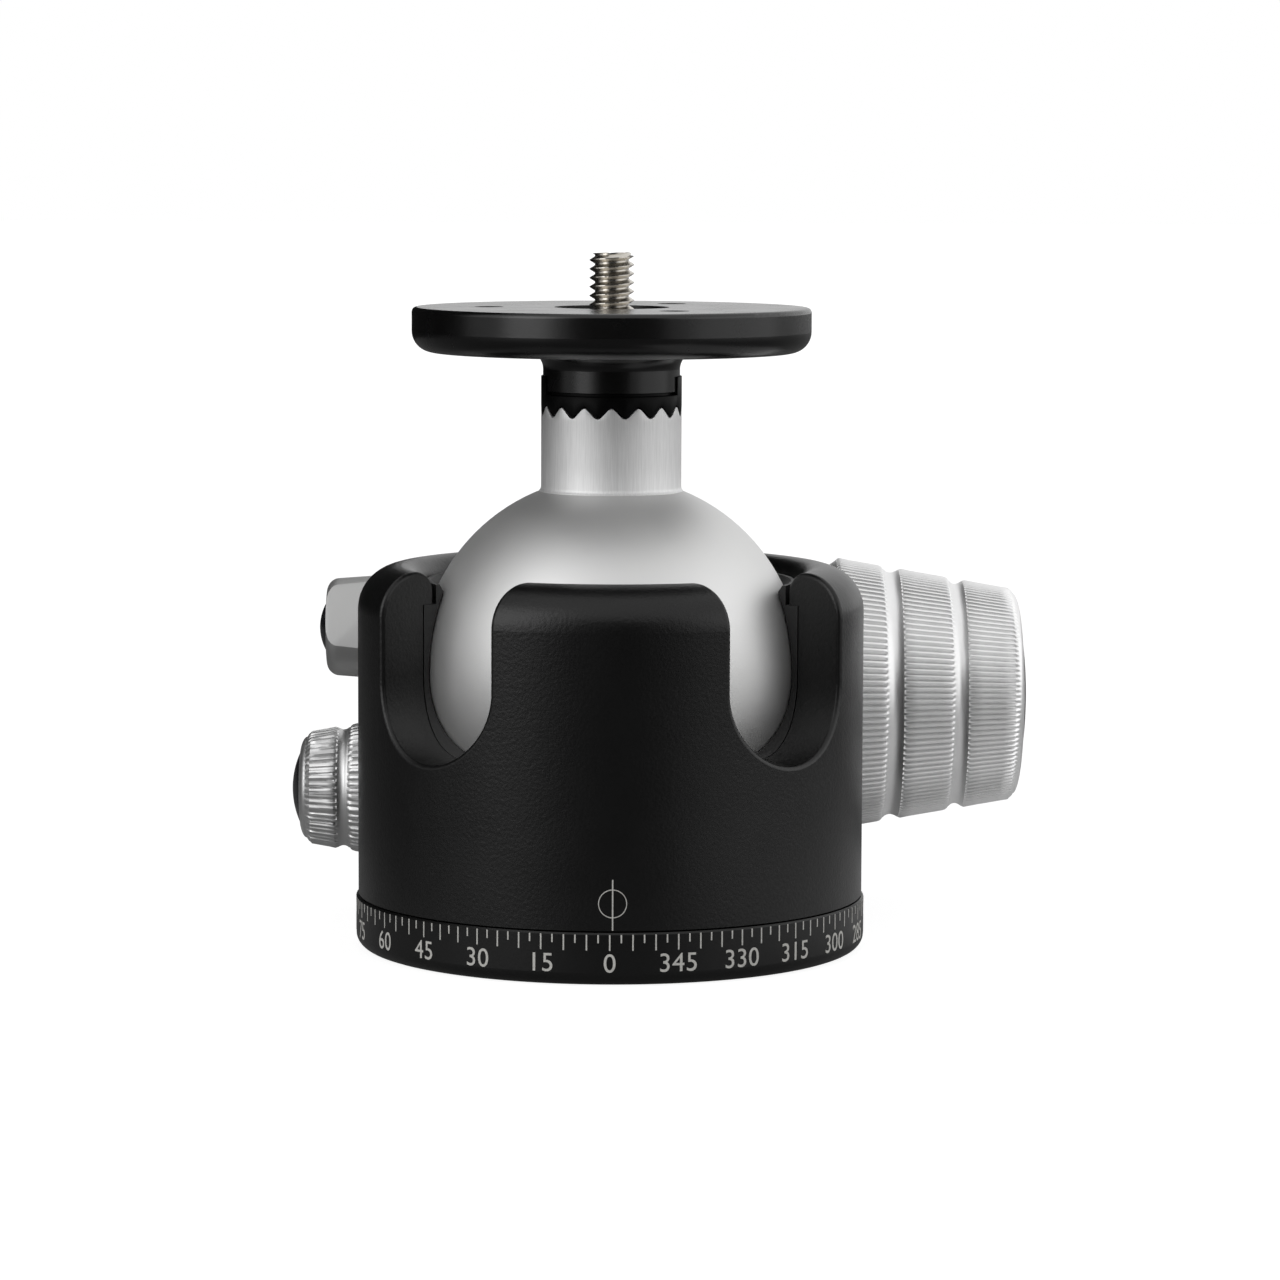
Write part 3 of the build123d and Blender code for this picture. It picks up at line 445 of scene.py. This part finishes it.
def make_stud():
    """The camera stud with its 1/4-20 thread, chamfered at the tip."""
    pitch = 1.27 * MM
    crest_r, root_r = 3.175 * MM, 2.42 * MM
    foot, tip = bolt_top - 1.0 * MM, stud_top
    begin()
    bpy.ops.mesh.primitive_plane_add(size=1)
    stud = settle(bpy.context.object, "stud_thread")
    low = foot - 3 * pitch
    flank = [(root_r, 0.0), (root_r, 0.10), (crest_r, 0.46), (crest_r, 0.56), (root_r, 0.92)]
    mesh = bmesh.new()
    rung = [mesh.verts.new((radius, 0, low + share * pitch)) for radius, share in flank]
    rung.append(mesh.verts.new((root_r, 0, low + pitch)))
    for one, two in zip(rung, rung[1:]):
        mesh.edges.new((one, two))
    mesh.to_mesh(stud.data)
    mesh.free()
    winding = stud.modifiers.new("thread", "SCREW")
    winding.axis = "Z"
    winding.angle = 2 * pi
    winding.screw_offset = pitch
    winding.iterations = 14
    winding.steps = 40
    winding.render_steps = 40
    winding.use_merge_vertices = True
    winding.merge_threshold = tiny
    apply_modifiers(stud)
    for height, above in ((tip, True), (foot, False)):
        bpy.ops.object.mode_set(mode="EDIT")
        bpy.ops.mesh.select_all(action="SELECT")
        bpy.ops.mesh.remove_doubles(threshold=tiny)
        bpy.ops.mesh.select_all(action="SELECT")
        bpy.ops.mesh.bisect(plane_co=(0, 0, height), plane_no=(0, 0, 1), use_fill=True,
                            clear_outer=above, clear_inner=not above)
        bpy.ops.object.mode_set(mode="OBJECT")
    bpy.ops.object.mode_set(mode="EDIT")
    bpy.ops.mesh.select_all(action="SELECT")
    bpy.ops.mesh.normals_make_consistent(inside=False)
    bpy.ops.object.mode_set(mode="OBJECT")
    chamfer = 0.6 * MM
    outline = [(foot - 1 * MM, crest_r), (tip - chamfer, crest_r), (tip - 0.02 * MM, crest_r - chamfer),
               (tip, crest_r - chamfer - 0.02 * MM)]
    limit = turn_on_lathe("stud_limit", outline, 80)
    cut_with(stud, limit, "INTERSECT")
    smooth(stud, 28)
    return stud


# ---------------------------------------------------------------- scale and index mark
paint_rise = 0.03 * MM


def join_all(pieces, name):
    """Join pieces into the first."""
    bpy.ops.object.select_all(action="DESELECT")
    for piece in pieces:
        piece.select_set(True)
    bpy.context.view_layer.objects.active = pieces[0]
    bpy.ops.object.join()
    return settle(pieces[0], name)


def front_bar(width, low, high, radius):
    """A thin painted bar standing at the front of a round wall."""
    begin()
    depth = 0.2 * MM
    bpy.ops.mesh.primitive_cube_add(size=1)
    bar = bpy.context.object
    bar.scale = (width, depth, high - low)
    bar.location = (0, -(radius + paint_rise - depth / 2), (low + high) / 2)
    return settle(bar, "bar")


def swing(piece, heading):
    """Turn a piece about Z so that what stood at the front faces the heading, seen from above."""
    piece.rotation_euler = (0, 0, radians(heading))
    return settle(piece, piece.name)


def copy_of(piece):
    """The piece again, with a mesh of its own."""
    twin = piece.copy()
    twin.data = piece.data.copy()
    bpy.context.scene.collection.objects.link(twin)
    return twin


def wrapped_number(text, size, low, radius):
    """A painted number standing at the front of a round wall."""
    begin()
    bpy.ops.object.text_add(rotation=(pi / 2, 0, 0))
    letters = bpy.context.object
    letters.data.body = text
    letters.data.size = size
    letters.data.space_character = 1.04
    letters.data.align_x = "CENTER"
    letters.data.resolution_u = 6
    bpy.ops.object.convert(target="MESH")
    number = settle(bpy.context.object, "number")
    for vertex in number.data.vertices:
        turn = vertex.co.x / radius
        vertex.co = Vector((radius * sin(turn), -radius * cos(turn), vertex.co.z + low))
    layer = number.modifiers.new("paint", "SOLIDIFY")
    layer.thickness = 2 * paint_rise
    layer.offset = 0
    apply_modifiers(number)
    return number


def make_scale():
    """Painted marks every 2.5 degrees and numbers every 15, counted from the front towards the left."""
    top, long_foot, short_foot, width = 7.2 * MM, 5.01 * MM, 6.05 * MM, 0.2 * MM
    digit_size, digit_foot = 3.7 * MM, 1.99 * MM
    mark_step, number_step = 2.5, 15
    long_mark = front_bar(width, long_foot, top, base_r)
    short_mark = front_bar(width, short_foot, top, base_r)
    marks = []
    for index in range(round(360 / mark_step)):
        mark = copy_of(short_mark if index % 2 else long_mark)
        marks.append(swing(mark, index * mark_step))
    for number in range(0, 360, number_step):
        digits = wrapped_number(str(number), digit_size, digit_foot, base_r)
        marks.append(swing(digits, -number))
    bpy.data.objects.remove(long_mark)
    bpy.data.objects.remove(short_mark)
    return join_all(marks, "degree_scale")


def make_index_mark():
    """The painted index on the housing: an upright line through a ring."""
    wall_r = 36.3 * MM
    line = front_bar(0.19 * MM, 7.75 * MM, 14.79 * MM, wall_r)
    begin()
    ring_r, ring_z, ring_sink = 1.93 * MM, 11.45 * MM, 0.06 * MM
    bpy.ops.mesh.primitive_torus_add(
        major_radius=ring_r, minor_radius=0.095 * MM, major_segments=64, minor_segments=6,
        rotation=(pi / 2, 0, 0))
    ring = settle(bpy.context.object, "ring")
    for vertex in ring.data.vertices:
        turn = vertex.co.x / wall_r
        reach = wall_r - ring_sink - vertex.co.y
        vertex.co = Vector((reach * sin(turn), -reach * cos(turn), vertex.co.z + ring_z))
    mark = join_all([line, ring], "index_mark")
    return swing(mark, 0.6)


# ---------------------------------------------------------------- materials
class Wire:
    """A number or vector flowing between nodes, so that its sums read as arithmetic."""

    def __init__(self, nodes, socket):
        self.nodes = nodes
        self.socket = socket

    def combine(self, operation, one, two):
        return self.nodes.node("ShaderNodeMath", {"operation": operation}, {0: one, 1: two})

    def __add__(self, other):
        return self.combine("ADD", self, other)

    def __sub__(self, other):
        return self.combine("SUBTRACT", self, other)

    def __rsub__(self, other):
        return self.combine("SUBTRACT", other, self)

    def __mul__(self, other):
        return self.combine("MULTIPLY", self, other)

    __radd__ = __add__
    __rmul__ = __mul__


class Nodes:
    """A node tree being filled."""

    def __init__(self, tree):
        self.tree = tree

    def feed(self, socket, value):
        """Give a socket a wire or a plain value."""
        if isinstance(value, Wire):
            self.tree.links.new(value.socket, socket)
        else:
            socket.default_value = value

    def node(self, kind, settings=None, sockets=None, out=0):
        """A node of a kind, its settings made first, then its sockets fed; the wire from one output."""
        node = self.tree.nodes.new(kind)
        for setting, value in (settings or {}).items():
            if setting == "stops":
                for stop, (place, shade) in zip(node.color_ramp.elements, value):
                    stop.position = place
                    stop.color = (*shade, 1)
            else:
                setattr(node, setting, value)
        for key, value in (sockets or {}).items():
            self.feed(node.inputs[key], value)
        return Wire(self, node.outputs[out])

    def ray(self, kind):
        """1 for rays of a kind, 0 for all others."""
        return self.node("ShaderNodeLightPath", out=kind)


class Finish(Nodes):
    """One material being built; its fixed numbers are set on the shader itself."""

    def __init__(self, name, color, roughness, metallic=0.0, **fixed):
        self.material = bpy.data.materials.new(name)
        self.material.use_nodes = True
        super().__init__(self.material.node_tree)
        self.shader = self.tree.nodes["Principled BSDF"]
        self.shader.inputs["Base Color"].default_value = (*color, 1)
        self.shader.inputs["Roughness"].default_value = roughness
        self.shader.inputs["Metallic"].default_value = metallic
        for socket, value in fixed.items():
            self.shader.inputs[socket.replace("_", " ")].default_value = value
        self.material.diffuse_color = (*color, 1)

    def place(self, stretch=(1, 1, 1)):
        """The piece's own coordinates, stretched."""
        spot = self.node("ShaderNodeTexCoord", out="Object")
        return self.node("ShaderNodeMapping", {}, {"Vector": spot, "Scale": stretch})

    def grain(self, size, stretch=(1, 1, 1), detail=2.0, roughness=0.5):
        """Noise with spots of a size in metres, around 0.5."""
        return self.node("ShaderNodeTexNoise", {}, {
            "Vector": self.place(stretch), "Scale": 1 / size, "Detail": detail, "Roughness": roughness})

    def between(self, share, one, two):
        """A colour between two."""
        sockets = {0: share, 6: (*one, 1), 7: (*two, 1)}
        return self.node("ShaderNodeMix", {"data_type": "RGBA"}, sockets, out=2)

    def bump(self, height, distance, strength=1.0, after=None):
        """Bump from a height, on top of an earlier bump."""
        sockets = {"Height": height, "Distance": distance, "Strength": strength}
        if after is not None:
            sockets["Normal"] = after
        return self.node("ShaderNodeBump", {}, sockets)

    def vary(self, **wires):
        """Feed the shader's varying sockets and hand back the material."""
        for socket, wire in wires.items():
            self.feed(self.shader.inputs[socket.replace("_", " ")], wire)
        return self.material


def black_anodising(name, roughness, grain_height, grain_size=0.45 * MM, shade=0.003, gloss=0.35):
    """Black anodised aluminium: fine pebbled grain, slightly uneven black and sheen."""
    finish = Finish(name, (shade, shade, shade * 1.05), roughness, Specular_IOR_Level=gloss)
    pebble = finish.grain(grain_size, detail=1.5)
    dust = finish.grain(6 * MM, detail=3.0)
    relief = finish.bump(pebble, grain_height)
    relief = finish.bump(finish.grain(0.12 * MM), grain_height * 0.35, after=relief)
    color = finish.between(dust, (shade * 0.8,) * 3, (shade * 1.25, shade * 1.25, shade * 1.3))
    return finish.vary(Base_Color=color, Roughness=roughness - 0.05 + 0.1 * dust, Normal=relief)


def blasted_silver(name, shade=0.64, roughness=0.54):
    """Bead-blasted silver anodised aluminium: an even satin with very fine sparkle."""
    finish = Finish(name, (shade,) * 3, roughness, metallic=1.0)
    pits = finish.grain(0.13 * MM, detail=2.0)
    cloud = finish.grain(9 * MM, detail=2.0)
    color = finish.between(cloud, (shade * 0.97,) * 3, (shade * 1.03, shade * 1.03, shade * 1.02))
    rough = roughness - 0.03 + 0.06 * cloud
    return finish.vary(Base_Color=color, Roughness=rough, Normal=finish.bump(pits, 0.012 * MM))


def brushed_silver(name, shade=0.66, roughness=0.52):
    """Silver with fine upright brushing, as on the turned neck."""
    finish = Finish(name, (shade,) * 3, roughness, metallic=1.0)
    strokes = finish.grain(0.16 * MM, stretch=(1, 1, 0.035), detail=3.0, roughness=0.6)
    wide = finish.grain(1.2 * MM, stretch=(1, 1, 0.05), detail=1.0)
    color = finish.between(strokes, (shade * 0.80,) * 3, (min(shade * 1.15, 0.98),) * 3)
    rough = roughness - 0.08 + 0.1 * strokes + 0.08 * wide
    return finish.vary(Base_Color=color, Roughness=rough, Normal=finish.bump(strokes, 0.012 * MM))


def machined_silver(name, shade=0.66, roughness=0.46):
    """Satin silver of the knobs, with faint turning marks."""
    finish = Finish(name, (shade,) * 3, roughness, metallic=1.0)
    marks = finish.grain(0.1 * MM, stretch=(1, 0.1, 0.1), detail=2.0)
    cloud = finish.grain(4 * MM, detail=2.0)
    color = finish.between(cloud, (shade * 0.95,) * 3, (shade * 1.05,) * 3)
    rough = roughness - 0.04 + 0.08 * marks
    return finish.vary(Base_Color=color, Roughness=rough, Normal=finish.bump(marks, 0.006 * MM))


def stainless(name, shade=(0.58, 0.55, 0.50), roughness=0.24):
    """Turned stainless steel, faintly warm."""
    finish = Finish(name, shade, roughness, metallic=1.0)
    cloud = finish.grain(0.8 * MM, detail=3.0)
    color = finish.between(cloud, tuple(0.85 * c for c in shade), tuple(1.1 * c for c in shade))
    return finish.vary(Base_Color=color, Roughness=roughness - 0.05 + 0.12 * cloud,
                       Normal=finish.bump(finish.grain(0.15 * MM), 0.004 * MM))


def moulded(name, shade, roughness, grain_height=0.008 * MM):
    """Moulded plastic or rubber with a faint skin."""
    finish = Finish(name, shade, roughness)
    cloud = finish.grain(3 * MM, detail=3.0)
    color = finish.between(cloud, tuple(0.85 * c for c in shade), tuple(1.15 * c for c in shade))
    return finish.vary(Base_Color=color, Roughness=roughness - 0.05 + 0.1 * cloud,
                       Normal=finish.bump(finish.grain(0.25 * MM), grain_height))


def mark_paint(name):
    """Off-white filling paint, a little worn."""
    finish = Finish(name, (0.75, 0.74, 0.71), 0.6)
    wear = finish.grain(0.35 * MM, detail=3.0)
    color = finish.between(wear, (0.55, 0.54, 0.51), (0.95, 0.94, 0.90))
    return finish.vary(Base_Color=color, Roughness=0.5 + 0.2 * wear, Normal=finish.bump(wear, 0.01 * MM))


housing_black = black_anodising("housing_black", 0.36, 0.035 * MM, 0.5 * MM)
ring_black = black_anodising("ring_black", 0.36, 0.01 * MM, 0.3 * MM)
platform_black = black_anodising("platform_black", 0.26, 0.005 * MM, 0.3 * MM, shade=0.002, gloss=0.5)
# A darker copy of the black anodising with weaker sheen: painted shade for the collar, which sits in shadow
# between the platform and the neck.
collar_black_painted_shade = black_anodising("collar_black_painted_shade", 0.45, 0.008 * MM, 0.25 * MM, shade=0.0015, gloss=0.1)
ball_silver = blasted_silver("ball_silver", shade=0.74, roughness=0.58)
neck_silver = brushed_silver("neck_silver", shade=0.88, roughness=0.62)
knob_silver = machined_silver("knob_silver", shade=0.84)
# A darker copy of the knob silver: painted shade on the small pan lock knob, standing in for less light from
# the left lamp.
small_knob_painted_shade_silver = machined_silver("small_knob_painted_shade_silver", shade=0.62)
friction_silver = blasted_silver("friction_silver", shade=0.45, roughness=0.55)
steel = stainless("turned_steel")
race_grey = moulded("race_grey", (0.018, 0.018, 0.018), 0.6)
cap_black = moulded("cap_black", (0.012, 0.012, 0.014), 0.28, 0.002 * MM)
bronze = stainless("bearing_bronze", (0.55, 0.38, 0.2), 0.35)
rubber = moulded("brake_rubber", (0.02, 0.02, 0.02), 0.8)
white_paint = mark_paint("mark_paint")
oxide_black = stainless("oxide_black", (0.03, 0.03, 0.032), 0.35)

slot_finish = {
    "black_anodised": housing_black, "satin_silver": ball_silver, "stainless_steel": steel,
    "black_oxide": oxide_black, "race_plastic": race_grey, "bronze": bronze, "brake_rubber": rubber,
    "black_cap": cap_black,
}
node_finish = {"panning_base": ring_black, "platform": platform_black}


def paint(piece, material):
    """Give a piece one material."""
    piece.data.materials.clear()
    piece.data.materials.append(material)


for row in frame["record"]["subparts"]:
    node = frame["nodes"][row["node"]]
    finish = node_finish.get(row["node"], slot_finish[row["material_slot"]])
    for material_slot in node.material_slots:
        material_slot.material = finish


# ---------------------------------------------------------------- dress the frame
def dress(piece, material, body, slot, *nodes):
    """Finish a piece, let it ride on its body and stand for its CAD nodes."""
    paint(piece, material)
    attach(piece, body)
    if nodes:
        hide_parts(*nodes)


clamp_grip, clamp_cap = make_clamp_knob()
dress(clamp_grip, knob_silver, "clamp_knob_body", "satin_silver", "clamp_knob")
dress(clamp_cap, cap_black, "clamp_knob_body", "black_cap", "clamp_knob_cap")
pan_grip, pan_cap = make_pan_lock_knob()
dress(pan_grip, small_knob_painted_shade_silver, "pan_lock_knob_body", "satin_silver", "pan_lock_knob")
dress(pan_cap, cap_black, "pan_lock_knob_body", "black_cap", "pan_lock_cap")
friction_grip, friction_cap = make_friction_knob()
dress(friction_grip, friction_silver, "friction_knob_body", "satin_silver", "friction_knob")
dress(friction_cap, cap_black, "friction_knob_body", "black_cap", "friction_knob_cap")
dress(make_neck(), neck_silver, "stem_body", "satin_silver", "ball_stem")
dress(make_collar(), collar_black_painted_shade, "stem_body", "black_anodised", "index_collar")
dress(make_stud(), steel, "stem_body", "stainless_steel", "camera_stud")
dress(make_scale(), white_paint, "base", "black_anodised")
dress(make_index_mark(), white_paint, "housing_body", "black_anodised")


# ---------------------------------------------------------------- floor, light and camera
def lay_sheet(name, middle_spot, size, height, shade, seen, mirrored):
    """A flat sheet under the object: a shade under the lights, and a glow in sight and in reflections."""
    begin()
    bpy.ops.mesh.primitive_plane_add(size=1, location=(*middle_spot, height))
    sheet = bpy.context.object
    sheet.scale = (*size, 1)
    settle(sheet, name)
    finish = Finish(name + "_finish", (shade,) * 3, 0.9)
    sight = finish.ray("Is Camera Ray") + finish.ray("Is Transmission Ray")
    strength = sight * seen + finish.ray("Is Glossy Ray") * mirrored
    glow = finish.node("ShaderNodeEmission", {}, {"Color": (1, 1, 1, 1), "Strength": strength})
    both = finish.node("ShaderNodeAddShader", {}, {0: Wire(finish, finish.shader.outputs[0]), 1: glow})
    finish.feed(finish.tree.nodes["Material Output"].inputs["Surface"], both)
    paint(sheet, finish.material)


def hang_card(name, heading, distance, width, low, high, shade):
    """A dark card standing round the object, seen only in reflections and as shade."""
    begin()
    bpy.ops.mesh.primitive_plane_add(size=1)
    card = bpy.context.object
    turn = radians(heading)
    card.scale = (width, high - low, 1)
    card.rotation_euler = (pi / 2, 0, turn)
    card.location = (sin(turn) * distance, -cos(turn) * distance, (low + high) / 2)
    settle(card, name)
    paint(card, Finish(name + "_finish", (shade,) * 3, 1.0, Specular_IOR_Level=0.0).material)
    card.visible_camera = False


def make_world(level):
    """White where it is seen or mirrored, plain grey as light."""
    world = bpy.data.worlds.new("studio")
    bpy.context.scene.world = world
    world.use_nodes = True
    nodes = Nodes(world.node_tree)
    background = nodes.tree.nodes["Background"]
    larger = {"operation": "MAXIMUM"}
    camera, mirror, through = (nodes.ray(f"Is {kind} Ray") for kind in ("Camera", "Glossy", "Transmission"))
    sight = nodes.node("ShaderNodeMath", larger, {0: camera, 1: mirror})
    sight = nodes.node("ShaderNodeMath", larger, {0: sight, 1: through})
    spread = {"Value": sight, "To Min": level, "To Max": 1.0}
    strength = nodes.node("ShaderNodeMapRange", {}, spread, out="Result")
    nodes.feed(background.inputs["Color"], (1, 1, 1, 1))
    nodes.feed(background.inputs["Strength"], strength)


def soft_light(name, heading, height, distance, size, radiance, aim):
    """A rectangular soft light; heading is in degrees from the front, positive to the right."""
    begin()
    turn, lift = radians(heading), radians(height)
    spot = Vector((sin(turn) * cos(lift), -cos(turn) * cos(lift), sin(lift))) * distance + aim
    bpy.ops.object.light_add(type="AREA", location=spot)
    lamp = bpy.context.object
    lamp.name = name
    lamp.data.shape = "RECTANGLE"
    lamp.data.size, lamp.data.size_y = size
    lamp.data.energy = radiance * pi * size[0] * size[1]
    lamp.rotation_euler = (aim - spot).to_track_quat("-Z", "Y").to_euler()
    lamp.visible_camera = False


floor_z = base_low.z - 0.02 * MM
lay_sheet("table", (-20 * MM, 0), (0.13, 0.17), floor_z, 0.25, seen=0.9, mirrored=0.08)
lay_sheet("table_right", (90 * MM, -30 * MM), (0.09, 0.23), floor_z, 0.45, seen=0.93, mirrored=0.22)
lay_sheet("floor", (0, 0), (12, 12), floor_z - 0.1 * MM, 0.05, seen=1.0, mirrored=0.06)
hang_card("front_card", 3, distance=0.95, width=1.0, low=0, high=0.55, shade=0.03)
hang_card("left_card", -132, distance=0.55, width=1.0, low=0, high=1.1, shade=0.03)
make_world(0.55)
aim = Vector((0, 0, 50 * MM))
soft_light("left_front_light", -48, 23, distance=0.6, size=(0.3, 0.5), radiance=2.2, aim=aim)
soft_light("right_light", 77, 16, distance=0.65, size=(0.75, 0.5), radiance=0.58, aim=aim)


def make_camera():
    """The camera looks slightly down on the front from two thirds of a metre."""
    begin()
    pitch, roll = 0.10494684, 0.0031737
    focal_px, frame_px, centre_px = 4741.29, 1280, 610.68
    distance, rise = 678.1 * MM, 75.4 * MM
    bpy.ops.object.camera_add(location=(0, -distance, ball_centre.z + rise))
    camera = bpy.context.object
    turn = Matrix.Rotation(pi / 2 - pitch, 4, "X") @ Matrix.Rotation(roll, 4, "Z")
    camera.rotation_euler = turn.to_euler()
    camera.data.sensor_width = 36.0
    camera.data.lens = focal_px / frame_px * camera.data.sensor_width
    camera.data.shift_x = (frame_px / 2 - centre_px) / frame_px
    camera.data.clip_start = 0.01
    bpy.context.scene.camera = camera


make_camera()
bpy.context.scene.view_settings.view_transform = "Standard"
